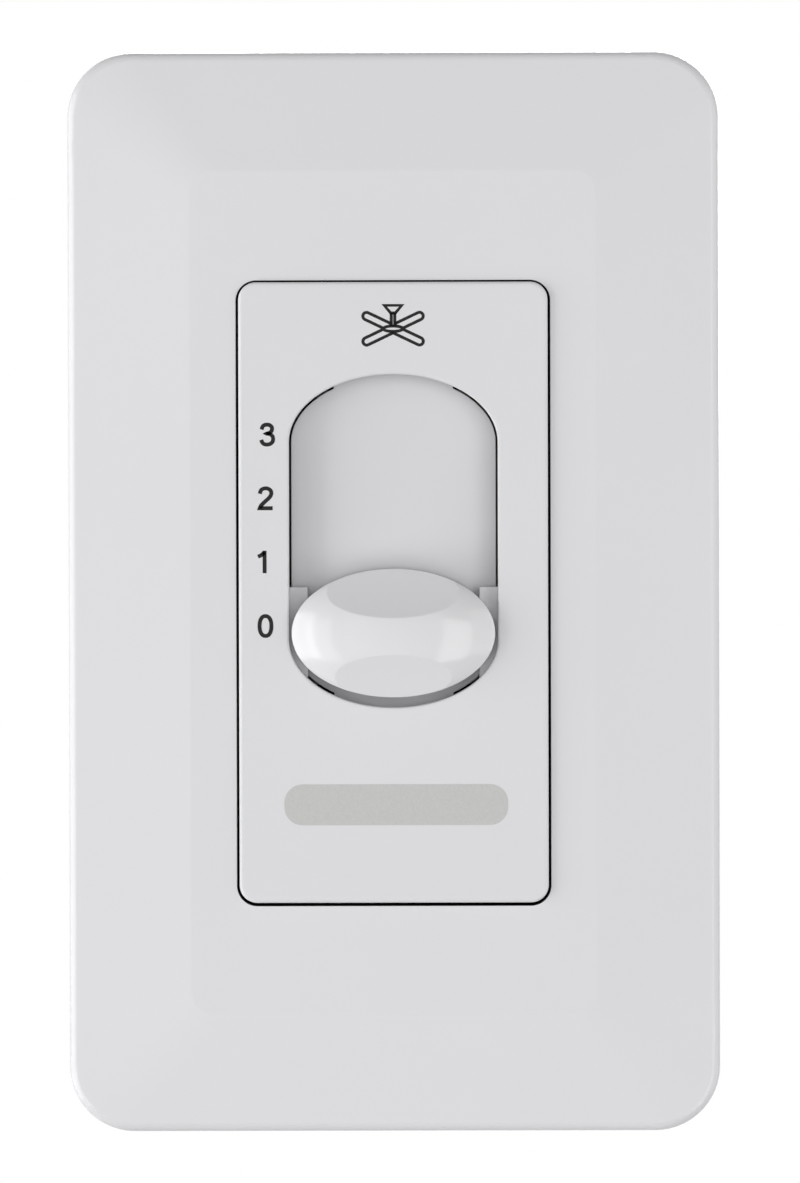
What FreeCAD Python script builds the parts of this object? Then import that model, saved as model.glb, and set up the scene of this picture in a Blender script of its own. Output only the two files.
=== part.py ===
import FreeCAD, Part
import math
import os
import Sketcher

os.makedirs("parts", exist_ok=True)
doc = FreeCAD.newDocument("FanSpeedSwitch")
sheet = doc.addObject("Spreadsheet::Sheet", "sizes")

# Slide switch for the speed of a ceiling fan, in millimetres: x to the right, z up, the front towards -y.
# "Out" is the distance in front of the wall face, so a point at "out" 5 lies at y = -5.
# The origin is the middle of the two box screws, on the wall face.


class Length:
    """A number together with the formula that gives it from the table of sizes."""

    def __init__(self, number, formula):
        self.number = number
        self.formula = formula

    def __add__(self, other):
        return Length(self.number + number(other), f"({self.formula} + {formula(other)})")

    def __radd__(self, other):
        return self + other

    def __sub__(self, other):
        return Length(self.number - number(other), f"({self.formula} - {formula(other)})")

    def __rsub__(self, other):
        return Length(number(other) - self.number, f"({formula(other)} - {self.formula})")

    def __mul__(self, other):
        return Length(self.number * number(other), f"({self.formula} * {formula(other)})")

    def __rmul__(self, other):
        return self * other

    def __truediv__(self, other):
        return Length(self.number / number(other), f"({self.formula} / {formula(other)})")

    def __neg__(self):
        return Length(-self.number, f"(0 - {self.formula})")


def root(value):
    return Length(math.sqrt(value.number), f"sqrt({value.formula})")


def number(value):
    return value.number if isinstance(value, Length) else float(value)


def formula(value):
    return value.formula if isinstance(value, Length) else f"({float(value):.6f})"


row = 0


def size(alias, value):
    """One driving size: a cell of the table, under its own name."""
    global row
    row += 1
    sheet.set(f"A{row}", str(value))
    sheet.setAlias(f"A{row}", alias)
    return Length(float(value), f"sizes.{alias}")


# Clearances
slideGap = size("slide_gap", 0.2)
sideGap = size("side_gap", 0.3)
threadGap = size("thread_gap", 0.05)
bezelGap = size("bezel_gap", 0.25)
slitWidth = size("slit_width", 0.2)
neckGap = size("neck_gap", 0.15)

# How far a cutting piece runs past the face that it opens, or a joined one into its neighbour
overrun = size("overrun", 1.0)

# Knob: its oval, dome, scoops and hollow back, and its travel between the four positions
knobWidth = size("knob_width", 21.8)
knobHeight = size("knob_height", 13.8)
knobRest = size("knob_rest", 4.33)
detentPitch = size("detent_pitch", 6.8)
rimProud = size("rim_proud", 1.1)
crownRise = size("crown_rise", 3.0)
domeSink = size("dome_sink", 1.5)
ridgeHigh = size("ridge_high", 1.7)
ridgeLow = size("ridge_low", 2.2)
scoopRadius = size("scoop_radius", 44.0)
scoopUp = size("scoop_up", 28.0)
scoopOut = size("scoop_out", 33.8)
knobWall = size("knob_wall", 1.6)
knobRoof = size("knob_roof", 1.2)
knobRib = size("knob_rib", 1.2)
ribSetBack = size("rib_set_back", 0.6)
earInset = size("ear_inset", 1.7)
earShort = size("ear_short", 4.0)
earWall = size("ear_wall", 1.0)
legOffset = size("leg_offset", 2.0)
legWall = size("leg_wall", 1.5)
hookReach = size("hook_reach", 0.8)
hookDeep = size("hook_deep", 0.8)
travel = detentPitch * 3

# Window: half ellipses at both ends, and a little room beyond the knob
archGap = size("arch_gap", 0.37)
roomBelow = size("room_below", 0.74)
roomAbove = size("room_above", 0.07)
windowWidth = knobWidth + 2 * sideGap
windowArch = knobHeight / 2 + archGap
windowLow = knobRest + roomBelow
windowTop = travel - knobRest + roomAbove
windowStraight = windowTop + windowLow
windowMiddle = (windowTop - windowLow) / 2
tongueWidth = size("tongue_width", 12.8)
trackWall = size("track_wall", 1.5)
slotBeyond = size("slot_beyond", 0.9)

# Sliding switch inside
carriageDepth = size("carriage_depth", 3.5)
carriageHeight = size("carriage_height", 10.0)
legShort = size("leg_short", 3.0)
barDepth = size("bar_depth", 1.4)
barWidth = size("bar_width", 6.0)
notchDepth = size("notch_depth", 0.8)
notchBite = size("notch_bite", 0.35)
leafRoom = size("leaf_room", 1.3)
leafWall = size("leaf_wall", 0.3)
leafWidth = size("leaf_width", 5.0)
leafEnd = size("leaf_end", 4.0)
leafBend = size("leaf_bend", 2.0)
leafNose = size("leaf_nose", 0.55)
springRadius = size("spring_radius", 1.1)
springWire = size("spring_wire", 0.2)
springDeep = size("spring_deep", 2.7)
springLead = size("spring_lead", 0.5)
bridgeHalf = size("bridge_half", 1.3)
bridgeReach = size("bridge_reach", 6.2)
bridgeWall = size("bridge_wall", 0.6)
footHalf = size("foot_half", 0.9)
footRise = size("foot_rise", 0.7)
lipWall = size("lip_wall", 0.8)
lipRise = size("lip_rise", 0.9)
frameWall = size("frame_wall", 4.0)
frameSide = size("frame_side", 5.2)

# Positions across and up, from the knob outwards to the guide frame
earInner = knobWidth / 2 - earInset
earHeight = knobHeight - earShort
legOuter = windowWidth / 2 + legOffset
legInner = legOuter - legWall
legHeight = carriageHeight - legShort
channelHalf = legOuter + sideGap
slotHalf = channelHalf + sideGap
channelLow = -knobRest - carriageHeight / 2
channelHigh = channelLow + carriageHeight + travel
frameLow = channelLow - frameWall
frameHigh = channelHigh + frameWall
frameWidth = 2 * channelHalf + 2 * frameSide

# Fixed side of the switch
boardWall = size("board_wall", 1.5)
contactWall = size("contact_wall", 0.5)
contactAcross = size("contact_across", 5.0)
contactHalf = size("contact_half", 1.3)
contactSpace = size("contact_space", 2.4)
contactLength = detentPitch - contactSpace
tailHalf = size("tail_half", 0.4)
tailIn = size("tail_in", 1.0)
tailProud = size("tail_proud", 0.8)

# Back case round the guide frame, with its screws
caseWall = size("case_wall", 2.0)
caseDepth = size("case_depth", 30.0)
caseCorner = size("case_corner", 3.0)
bossRadius = size("boss_radius", 3.0)
bossSpace = size("boss_space", 1.2)
caseScrewInset = size("case_screw_inset", 8.0)
caseScrewRadius = size("case_screw_radius", 1.3)
caseScrewLength = size("case_screw_length", 12.0)
caseHead = size("case_head", 2.1)
caseHeadRise = size("case_head_rise", 1.1)
ledgeHeight = size("ledge_height", 5.0)
ledgeWidth = size("ledge_width", 1.7)
bossInset = size("boss_inset", 1.46)
caseInner = frameWidth / 2 + sideGap
caseWidth = 2 * caseInner + 2 * caseWall
caseScrewUp = frameHigh + bossRadius + bossSpace
caseHeight = 2 * caseScrewUp + 2 * bossRadius + bossInset
caseScrewAcross = caseInner - caseScrewInset

# Insert over the case, and its snap legs
bezelWall = size("bezel_wall", 1.8)
bezelSkirt = size("bezel_skirt", 1.4)
bezelCorner = size("bezel_corner", 1.9)
bezelEdgeRound = size("bezel_edge_round", 0.35)
snapWall = size("snap_wall", 1.1)
snapHeight = size("snap_height", 3.4)
snapHook = size("snap_hook", 0.7)
snapInset = size("snap_inset", 5.2)
bezelSide = size("bezel_side", 5.375)
bezelOver = size("bezel_over", 0.55)
bezelWidth = windowWidth + 2 * bezelSide
bezelHeight = caseHeight + bezelOver
skirtHalf = bezelWidth / 2 - bezelSkirt
skirtInner = bezelHeight / 2 - bezelSkirt
snapUp = bezelHeight / 2 - snapInset

# Strap with the screws of the wall box and of the plate's frame
strapWall = size("strap_wall", 1.2)
strapCorner = size("strap_corner", 2.5)
strapMargin = size("strap_margin", 0.7)
slotAcross = size("slot_across", 7.0)
slotUp = size("slot_up", 4.2)
slotCorner = size("slot_corner", 1.9)
screwRadius = size("screw_radius", 1.75)
headRadius = size("head_radius", 3.5)
headRise = size("head_rise", 1.6)
driveSlot = size("drive_slot", 0.9)
boxScrewLength = size("box_screw_length", 22.0)
boxScrewOver = size("box_screw_over", 8.395)
plateScrewOver = size("plate_screw_over", 6.75)
strapEnd = size("strap_end", 4.58)
strapNarrow = size("strap_narrow", 0.15)
strapOver = size("strap_over", 2.5)
strapSide = size("strap_side", 1.0)
tabInset = size("tab_inset", 9.0)
tabBelow = size("tab_below", 4.6)
tabDepth = size("tab_depth", 10.0)
tabWidth = size("tab_width", 8.5)
groundReach = size("ground_reach", 4.2)
boxScrewUp = bezelHeight / 2 + boxScrewOver
plateScrewUp = boxScrewUp + plateScrewOver
strapHeight = 2 * plateScrewUp + 2 * strapEnd
strapWidth = bezelWidth - strapNarrow
strapMiddleHeight = caseHeight + 2 * strapOver
strapMiddleWidth = caseWidth + 2 * strapSide
tabAcross = caseWidth / 2 - tabInset
tabUp = caseHeight / 2 + tabBelow

# Cover plate, and the frame behind it that it snaps on
plateEdge = size("plate_edge", 5.0)
plateEdgeRound = size("plate_edge_round", 1.0)
plateRise = size("plate_rise", 1.8)
plateWall = size("plate_wall", 1.8)
plateCorner = size("plate_corner", 7.0)
plateSide = size("plate_side", 18.425)
plateOver = size("plate_over", 5.0)
openingDrop = size("opening_drop", 0.09)
slopeWidth = size("slope_width", 13.2)
slopeHeight = size("slope_height", 12.75)
plateWidth = bezelWidth + 2 * plateSide
plateHeight = strapHeight + 2 * plateOver
fieldWidth = plateWidth - 2 * slopeWidth
fieldHeight = plateHeight - 2 * slopeHeight
fieldCorner = size("field_corner", 2.5)
catchUp = size("catch_up", 30.0)
catchHeight = size("catch_height", 7.0)
catchWall = size("catch_wall", 0.9)
catchReach = size("catch_reach", 0.8)
catchOut = size("catch_out", 0.5)
adapterWall = size("adapter_wall", 1.6)
adapterGap = size("adapter_gap", 1.3)
adapterHead = size("adapter_head", 3.2)
adapterSink = size("adapter_sink", 0.9)
adapterScrewLength = size("adapter_screw_length", 6.0)
lugReach = size("lug_reach", 2.0)
lugWall = size("lug_wall", 1.3)
accessRoom = size("access_room", 1.3)
plateInner = plateWidth / 2 - plateWall

# Circuit parts between the board and the back of the case
capGap = size("cap_gap", 3.0)
capSide = size("cap_side", 4.5)
capBehind = size("cap_behind", 3.0)
capShort = size("cap_short", 8.4)
capStand = size("cap_stand", 1.5)
capPinInset = size("cap_pin_inset", 3.0)
pinRadius = size("pin_radius", 0.4)
pinProud = size("pin_proud", 0.2)
resistorRadius = size("resistor_radius", 1.4)
resistorLength = size("resistor_length", 8.0)
resistorSide = size("resistor_side", 2.6)
resistorStand = size("resistor_stand", 2.6)
resistorBend = size("resistor_bend", 2.0)
leadBite = size("lead_bite", 0.2)
leadOver = size("lead_over", 0.08)
leadFoot = size("lead_foot", 0.36)
capWidth = caseInner - capSide - capGap / 2
capAcross = (caseInner - capSide + capGap / 2) / 2
capUp = (frameLow + frameHigh) / 2
capHeight = frameHigh - frameLow - capShort
capPinUp = capHeight / 2 - capPinInset
resistorUp = resistorLength / 2 + resistorBend
resistorAcross = caseInner - resistorSide

# Wiring points in the sides of the case
recessHeight = size("recess_height", 10.0)
recessDepth = size("recess_depth", 11.0)
recessIn = size("recess_in", 5.5)
recessWall = size("recess_wall", 1.0)
recessNear = size("recess_near", 4.0)
recessBelow = size("recess_below", 0.5)
terminalWall = size("terminal_wall", 1.0)
terminalEdge = size("terminal_edge", 0.5)
tabNear = size("tab_near", 5.5)
tabHalf = size("tab_half", 2.0)
tabReach = size("tab_reach", 5.5)
clampGap = size("clamp_gap", 0.4)
clampHalf = size("clamp_half", 3.8)
tipReach = size("tip_reach", 2.5)
wireRadius = size("wire_radius", 0.7)
wireInset = size("wire_inset", 1.5)
wireEnd = size("wire_end", 2.0)
wireBow = size("wire_bow", 1.0)
wireRise = size("wire_rise", 0.6)
wireSide = size("wire_side", 0.5)
wireBack = size("wire_back", 2.2)
wireDip = size("wire_dip", 3.0)
recessFloor = caseWidth / 2 - recessIn
recessHigh = frameLow - recessWall - recessBelow
recessLow = recessHigh - recessHeight
terminalUp = (recessLow + recessHigh) / 2
terminalOut = recessNear + recessDepth / 2
tabInner = recessFloor - tabReach

# Levels from the middle of the sliding switch outwards; the strap's back is the wall face
trackBack = strapWall + size("rail_rise", 1.7)
trackFront = trackBack + trackWall
earBack = trackFront + slideGap
earFront = earBack + earWall
bezelBack = earFront + slideGap
bezelFront = bezelBack + bezelWall
plateField = plateEdge + plateRise
rimLevel = bezelFront + rimProud
crownLevel = rimLevel + crownRise
carriageFront = -barDepth - leafRoom
carriageBack = carriageFront - carriageDepth
hookBack = carriageBack - hookDeep
springTop = carriageBack + springDeep
bridgeFront = carriageBack - springLead
bridgeBack = bridgeFront - bridgeWall
contactFront = bridgeBack - footRise
boardFront = contactFront - contactWall
boardBack = boardFront - boardWall
capDepth = caseDepth - caseWall - capBehind - capStand + boardBack

# Places of the contact strips' tails in the board, filled in as the strips are made
tailPlaces = []

# Sides and ends that repeat
bothSides = ((-1, "Left"), (1, "Right"))
bothEnds = ((-1, "Low"), (1, "High"))


# Sketches and features of a body

def newBody(name):
    return doc.addObject("PartDesign::Body", name)


def bind(thing, path, value):
    thing.setExpression(path, formula(value))


def sketch(body, name, role="XZ_Plane", across=0, up=0, out=0):
    """An empty sketch on one of the body's own planes; out is measured along the plane's normal."""
    drawing = body.newObject("Sketcher::SketchObject", name)
    base = next(f for f in body.Origin.OriginFeatures if f.Role == role)
    drawing.AttachmentSupport = [(base, "")]
    drawing.MapMode = "FlatFace"
    for letter, value in zip("xyz", (across, up, out)):
        bind(drawing, f"AttachmentOffset.Base.{letter}", value)
    return drawing


def dimension(drawing, kind, *where):
    """A dimension of a sketch that follows the table of sizes."""
    *points, value = where
    index = drawing.addConstraint(Sketcher.Constraint(kind, *points, number(value)))
    bind(drawing, f"Constraints[{index}]", value)


def point(x, y):
    return FreeCAD.Vector(x, y, 0)


def rectangle(drawing, width, height):
    w, h = number(width) / 2, number(height) / 2
    corners = [point(-w, -h), point(w, -h), point(w, h), point(-w, h)]
    first = drawing.GeometryCount
    for i in range(4):
        drawing.addGeometry(Part.LineSegment(corners[i], corners[(i + 1) % 4]))
    for i in range(4):
        drawing.addConstraint(Sketcher.Constraint("Coincident", first + i, 2, first + (i + 1) % 4, 1))
        drawing.addConstraint(Sketcher.Constraint(("Horizontal", "Vertical")[i % 2], first + i))
    drawing.addConstraint(Sketcher.Constraint("Symmetric", first, 1, first + 2, 1, -1, 1))
    dimension(drawing, "DistanceX", first, 1, first, 2, width)
    dimension(drawing, "DistanceY", first + 1, 1, first + 1, 2, height)


def rounded(drawing, width, height, radius):
    """A rectangle with rounded corners about the sketch's own middle."""
    r = number(radius)
    w, h = number(width) / 2 - r, number(height) / 2 - r
    first = drawing.GeometryCount
    sides = [((-w, -h - r), (w, -h - r)), ((w + r, -h), (w + r, h)),
             ((w, h + r), (-w, h + r)), ((-w - r, h), (-w - r, -h))]
    middles = [(w, -h), (w, h), (-w, h), (-w, -h)]
    for i in range(4):
        drawing.addGeometry(Part.LineSegment(point(*sides[i][0]), point(*sides[i][1])))
        circle = Part.Circle(point(*middles[i]), FreeCAD.Vector(0, 0, 1), r)
        start = math.radians(270 + 90 * i)
        drawing.addGeometry(Part.ArcOfCircle(circle, start, start + math.pi / 2))
    for i in range(4):
        line, arc, after = first + 2 * i, first + 2 * i + 1, first + (2 * i + 2) % 8
        drawing.addConstraint(Sketcher.Constraint("Tangent", line, 2, arc, 1))
        drawing.addConstraint(Sketcher.Constraint("Tangent", arc, 2, after, 1))
        drawing.addConstraint(Sketcher.Constraint(("Horizontal", "Vertical")[i % 2], line))
        if i:
            drawing.addConstraint(Sketcher.Constraint("Equal", first + 1, arc))
    drawing.addConstraint(Sketcher.Constraint("Symmetric", first + 1, 3, first + 5, 3, -1, 1))
    dimension(drawing, "Radius", first + 1, radius)
    dimension(drawing, "DistanceX", first, 1, first, 2, width - 2 * radius)
    dimension(drawing, "DistanceY", first + 2, 1, first + 2, 2, height - 2 * radius)


def circle(drawing, radius):
    index = drawing.addGeometry(Part.Circle(point(0, 0), FreeCAD.Vector(0, 0, 1), number(radius)))
    drawing.addConstraint(Sketcher.Constraint("Coincident", index, 3, -1, 1))
    dimension(drawing, "Radius", index, radius)


def ellipse(drawing, halfWidth, halfHeight):
    index = drawing.addGeometry(Part.Ellipse(point(0, 0), number(halfWidth), number(halfHeight)))
    drawing.exposeInternalGeometry(index)
    drawing.addConstraint(Sketcher.Constraint("Coincident", index, 3, -1, 1))
    drawing.addConstraint(Sketcher.Constraint("Horizontal", index + 1))
    dimension(drawing, "Distance", index + 1, halfWidth * 2)
    dimension(drawing, "Distance", index + 2, halfHeight * 2)


def feature(body, kind, drawing, length, even=False):
    """A pad or a pocket of a sketch; an even one runs to both sides of the plane."""
    made = body.newObject(f"PartDesign::{kind}", drawing.Name + kind)
    made.Profile = drawing
    bind(made, "Length", length)
    if even:
        made.SideType = "Symmetric"
    doc.recompute()
    return made


def pad(body, drawing, length, even=False):
    return feature(body, "Pad", drawing, length, even)


def pocket(body, drawing, length, even=False):
    return feature(body, "Pocket", drawing, length, even)


def soften(body, base, out, halfWidth, radius):
    """Round the edges that lie flat at a level, within a distance of the middle."""
    level, half, nearly = number(out), number(halfWidth), 0.01
    names = []
    for i, edge in enumerate(base.Shape.Edges):
        box = edge.BoundBox
        flat = abs(box.YMin + level) < nearly and abs(box.YMax + level) < nearly
        if flat and max(box.XMax, -box.XMin) < half + nearly:
            names.append(f"Edge{i + 1}")
    made = body.newObject("PartDesign::Fillet", base.Name + "Fillet")
    made.Base = (base, names)
    bind(made, "Radius", radius)
    doc.recompute()


# Primitives and their sums and differences

def placeAt(solid, x, out, z):
    bind(solid, "Placement.Base.x", x)
    bind(solid, "Placement.Base.y", -out if isinstance(out, Length) else -float(out))
    bind(solid, "Placement.Base.z", z)


def block(name, left, right, back, front, bottom, top):
    solid = doc.addObject("Part::Box", name)
    bind(solid, "Length", right - left)
    bind(solid, "Width", front - back)
    bind(solid, "Height", top - bottom)
    placeAt(solid, left, front, bottom)
    return solid


def rod(name, radius, x, z, back, front):
    """A cylinder that runs from back to front."""
    solid = doc.addObject("Part::Cylinder", name)
    solid.Placement.Rotation = FreeCAD.Rotation(FreeCAD.Vector(1, 0, 0), 90)
    bind(solid, "Radius", radius)
    bind(solid, "Height", front - back)
    placeAt(solid, x, back, z)
    return solid


def rodAcross(name, radius, left, right, out, z):
    solid = doc.addObject("Part::Cylinder", name)
    solid.Placement.Rotation = FreeCAD.Rotation(FreeCAD.Vector(0, 1, 0), 90)
    bind(solid, "Radius", radius)
    bind(solid, "Height", right - left)
    placeAt(solid, left, out, z)
    return solid


def rodUp(name, radius, x, out, bottom, top):
    solid = doc.addObject("Part::Cylinder", name)
    bind(solid, "Radius", radius)
    bind(solid, "Height", top - bottom)
    placeAt(solid, x, out, bottom)
    return solid


def joined(name, solids):
    made = doc.addObject("Part::MultiFuse", name)
    made.Shapes = solids
    made.Refine = True
    return made


def without(name, base, tools):
    made = doc.addObject("Part::Cut", name)
    made.Base = base
    made.Tool = tools[0] if len(tools) == 1 else joined(name + "Tools", tools)
    made.Refine = True
    return made


def group(name, solids):
    made = doc.addObject("Part::Compound", name)
    made.Links = solids
    return made


def mirrored(name, solid, normal):
    made = doc.addObject("Part::Mirroring", name)
    made.Source = solid
    made.Normal = normal
    return made


def roundedBlock(name, width, height, back, front, radius, middle=0):
    """A slab with rounded corners, seen from the front."""
    w, h = width / 2, height / 2
    low, high = middle - h, middle + h
    solids = [
        block(name + "Wide", -w, w, back, front, low + radius, high - radius),
        block(name + "Tall", radius - w, w - radius, back, front, low, high),
    ]
    for i, x in enumerate((radius - w, w - radius)):
        for k, z in enumerate((low + radius, high - radius)):
            solids.append(rod(f"{name}Corner{i}{k}", radius, x, z, back, front))
    return joined(name + "Slab", solids)


nodes = []


def node(thing, name):
    thing.Label = name
    nodes.append(thing)
    return thing


# Cover plate: an edge wall, four slopes that meet in mitres, and a raised flat field
def coverPlate():
    body = newBody("wallPlate")
    edge = sketch(body, "plateOutline")
    rounded(edge, plateWidth, plateHeight, plateCorner)
    pad(body, edge, plateEdge)
    base = sketch(body, "slopeFoot", out=plateEdge)
    rounded(base, plateWidth, plateHeight, plateCorner)
    crest = sketch(body, "slopeCrest", out=plateField)
    rounded(crest, fieldWidth, fieldHeight, fieldCorner)
    slope = body.newObject("PartDesign::AdditiveLoft", "slopes")
    slope.Profile = base
    slope.Sections = [crest]
    slope.Ruled = True
    doc.recompute()
    soften(body, slope, plateEdge, plateWidth, plateEdgeRound)
    inside = sketch(body, "hollowEdge", out=plateEdge - plateWall)
    rounded(inside, plateWidth - 2 * plateWall, plateHeight - 2 * plateWall, plateCorner - plateWall)
    pocket(body, inside, plateEdge)
    low = sketch(body, "hollowFoot", out=plateEdge - plateWall)
    rounded(low, plateWidth - 2 * plateWall, plateHeight - 2 * plateWall, plateCorner - plateWall)
    high = sketch(body, "hollowCrest", out=plateField - plateWall)
    rounded(high, fieldWidth, fieldHeight, fieldCorner)
    hollow = body.newObject("PartDesign::SubtractiveLoft", "hollowSlopes")
    hollow.Profile = low
    hollow.Sections = [high]
    hollow.Ruled = True
    doc.recompute()
    opening = sketch(body, "opening", up=-openingDrop, out=plateField)
    rounded(opening, bezelWidth + 2 * bezelGap, bezelHeight + 2 * bezelGap, bezelCorner + bezelGap)
    pocket(body, opening, plateField)
    for side, where in bothSides:
        for level, end in bothEnds:
            catch = sketch(body, f"catch{where}{end}", up=level * catchUp, out=catchOut,
                           across=side * (plateInner - catchReach / 2 + sideGap / 2))
            rectangle(catch, catchReach + sideGap, catchHeight)
            pad(body, catch, catchWall)
    return node(body, "wall_plate")


# Insert: a front panel with the window, a skirt round it and four snap legs
def insert():
    body = newBody("bezelBody")
    outline = sketch(body, "bezelOutline", out=strapWall)
    rounded(outline, bezelWidth, bezelHeight, bezelCorner)
    solid = pad(body, outline, bezelFront - strapWall)
    soften(body, solid, bezelFront, bezelWidth, bezelEdgeRound)
    inside = sketch(body, "bezelInside", out=bezelBack)
    rounded(inside, bezelWidth - 2 * bezelSkirt, bezelHeight - 2 * bezelSkirt, bezelCorner - bezelSkirt)
    pocket(body, inside, bezelBack)
    for level, end in ((windowTop, "High"), (-windowLow, "Low")):
        arch = sketch(body, f"windowArch{end}", up=level, out=bezelFront)
        ellipse(arch, windowWidth / 2, windowArch)
        pocket(body, arch, bezelWall)
    sides = sketch(body, "windowSides", up=windowMiddle, out=bezelFront)
    rectangle(sides, windowWidth, windowStraight)
    cut = pocket(body, sides, bezelWall)
    soften(body, cut, bezelFront, windowWidth / 2, bezelEdgeRound / 2)
    for side, where in bothSides:
        for level, end in bothEnds:
            leg = sketch(body, f"snapLeg{where}{end}", across=side * (skirtHalf + snapWall / 2),
                         up=level * snapUp, out=-strapWall)
            rectangle(leg, snapWall, snapHeight)
            pad(body, leg, strapWall * 3)
            hook = sketch(body, f"snapHook{where}{end}", up=level * snapUp, out=-strapWall,
                          across=side * (skirtHalf + (snapWall + snapHook) / 2))
            rectangle(hook, snapWall + snapHook, snapHeight)
            pad(body, hook, strapWall - 2 * threadGap)
    return node(body, "bezel")


# Recessed floor: an island shaped like the window, held by a tongue at either end, between two slots
def trackPlate():
    body = newBody("trackPlateBody")
    plate = sketch(body, "trackOutline", out=trackBack)
    rectangle(plate, skirtHalf * 2 - 2 * sideGap, bezelHeight - 2 * bezelSkirt - 2 * sideGap)
    slot = sketch(body, "trackSlots", up=windowMiddle, out=trackFront)
    pad(body, plate, trackWall)
    rectangle(slot, slotHalf * 2, windowStraight + 2 * windowArch + 2 * slotBeyond)
    pocket(body, slot, trackWall)
    tongue = sketch(body, "tongue", up=windowMiddle, out=trackBack)
    rectangle(tongue, tongueWidth, windowStraight + 2 * windowArch + 3 * slotBeyond)
    pad(body, tongue, trackWall)
    for level, end in ((windowTop, "High"), (-windowLow, "Low")):
        arch = sketch(body, f"islandArch{end}", up=level, out=trackBack)
        ellipse(arch, windowWidth / 2 - slitWidth, windowArch - slitWidth)
        pad(body, arch, trackWall)
    sides = sketch(body, "islandSides", up=windowMiddle, out=trackBack)
    rectangle(sides, windowWidth - 2 * slitWidth, windowStraight)
    pad(body, sides, trackWall)
    railWidth = skirtHalf - sideGap - slotHalf
    for side, where in bothSides:
        rail = sketch(body, f"rail{where}", across=side * (slotHalf + railWidth / 2), out=strapWall)
        rectangle(rail, railWidth, 2 * skirtInner - 2 * snapInset - 2 * snapHeight)
        pad(body, rail, trackBack - strapWall)
    return node(body, "track_plate")


# Knob: an oval dome, cut by a scoop above and below, hollow behind, with two ears and two snap legs
def knob():
    body = newBody("slideKnob")
    bind(body, "Placement.Base.z", -knobRest)
    oval = sketch(body, "oval", out=earBack)
    ellipse(oval, knobWidth / 2, knobHeight / 2)
    pad(body, oval, crownLevel - earBack)
    for side, ridge, where in ((-1, ridgeLow, "Low"), (1, ridgeHigh, "High")):
        scoop = sketch(body, f"scoop{where}", role="YZ_Plane", across=-(crownLevel + scoopOut),
                       up=side * (ridge + scoopUp))
        circle(scoop, scoopRadius)
        pocket(body, scoop, knobWidth * 2, even=True)
    hollowLevel = rimLevel - knobRoof
    hollow = sketch(body, "knobHollow", out=hollowLevel)
    ellipse(hollow, knobWidth / 2 - knobWall, knobHeight / 2 - knobWall)
    pocket(body, hollow, hollowLevel - earBack)
    rib = sketch(body, "knobRib", out=earBack + ribSetBack)
    rectangle(rib, knobRib, knobHeight - 2 * knobWall + slideGap)
    pad(body, rib, hollowLevel - earBack - ribSetBack)
    for side, where in bothSides:
        ear = sketch(body, f"ear{where}", across=side * (earInner + legOuter) / 2, out=earBack)
        rectangle(ear, legOuter - earInner, earHeight)
        pad(body, ear, earWall)
        leg = sketch(body, f"leg{where}", across=side * (legOuter - legWall / 2), out=hookBack)
        rectangle(leg, legWall, legHeight)
        pad(body, leg, earBack - hookBack)
        hook = sketch(body, f"hook{where}", out=hookBack,
                      across=side * (legOuter - (legWall + hookReach) / 2))
        rectangle(hook, legWall + hookReach, legHeight)
        pad(body, hook, hookDeep)
    return node(without("knobShape", body, [aboveDome()]), "slide_knob")


def aboveDome():
    """All that lies in front of the knob's dome, which meets the oval at the rim."""
    deep = crownRise + domeSink
    spread = root(1 - domeSink / deep * (domeSink / deep))
    dome = doc.addObject("Part::Ellipsoid", "dome")
    bind(dome, "Radius1", knobHeight / 2 / spread)
    bind(dome, "Radius2", knobWidth / 2 / spread)
    bind(dome, "Radius3", deep)
    placeAt(dome, 0, rimLevel - domeSink, -knobRest)
    room = block("domeRoom", -knobWidth, knobWidth, rimLevel - domeSink, crownLevel + overrun,
                 -knobRest - knobHeight, knobHeight - knobRest)
    return without("aboveDome", room, [dome])


def sideBlock(name, side, inner, outer, back, front, bottom, top):
    """A block given by its distances from the middle plane, on the left or the right."""
    left, right = (inner, outer) if side > 0 else (-outer, -inner)
    return block(name, left, right, back, front, bottom, top)


def sideRod(name, side, radius, inner, outer, out, z):
    left, right = (inner, outer) if side > 0 else (-outer, -inner)
    return rodAcross(name, radius, left, right, out, z)


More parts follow.
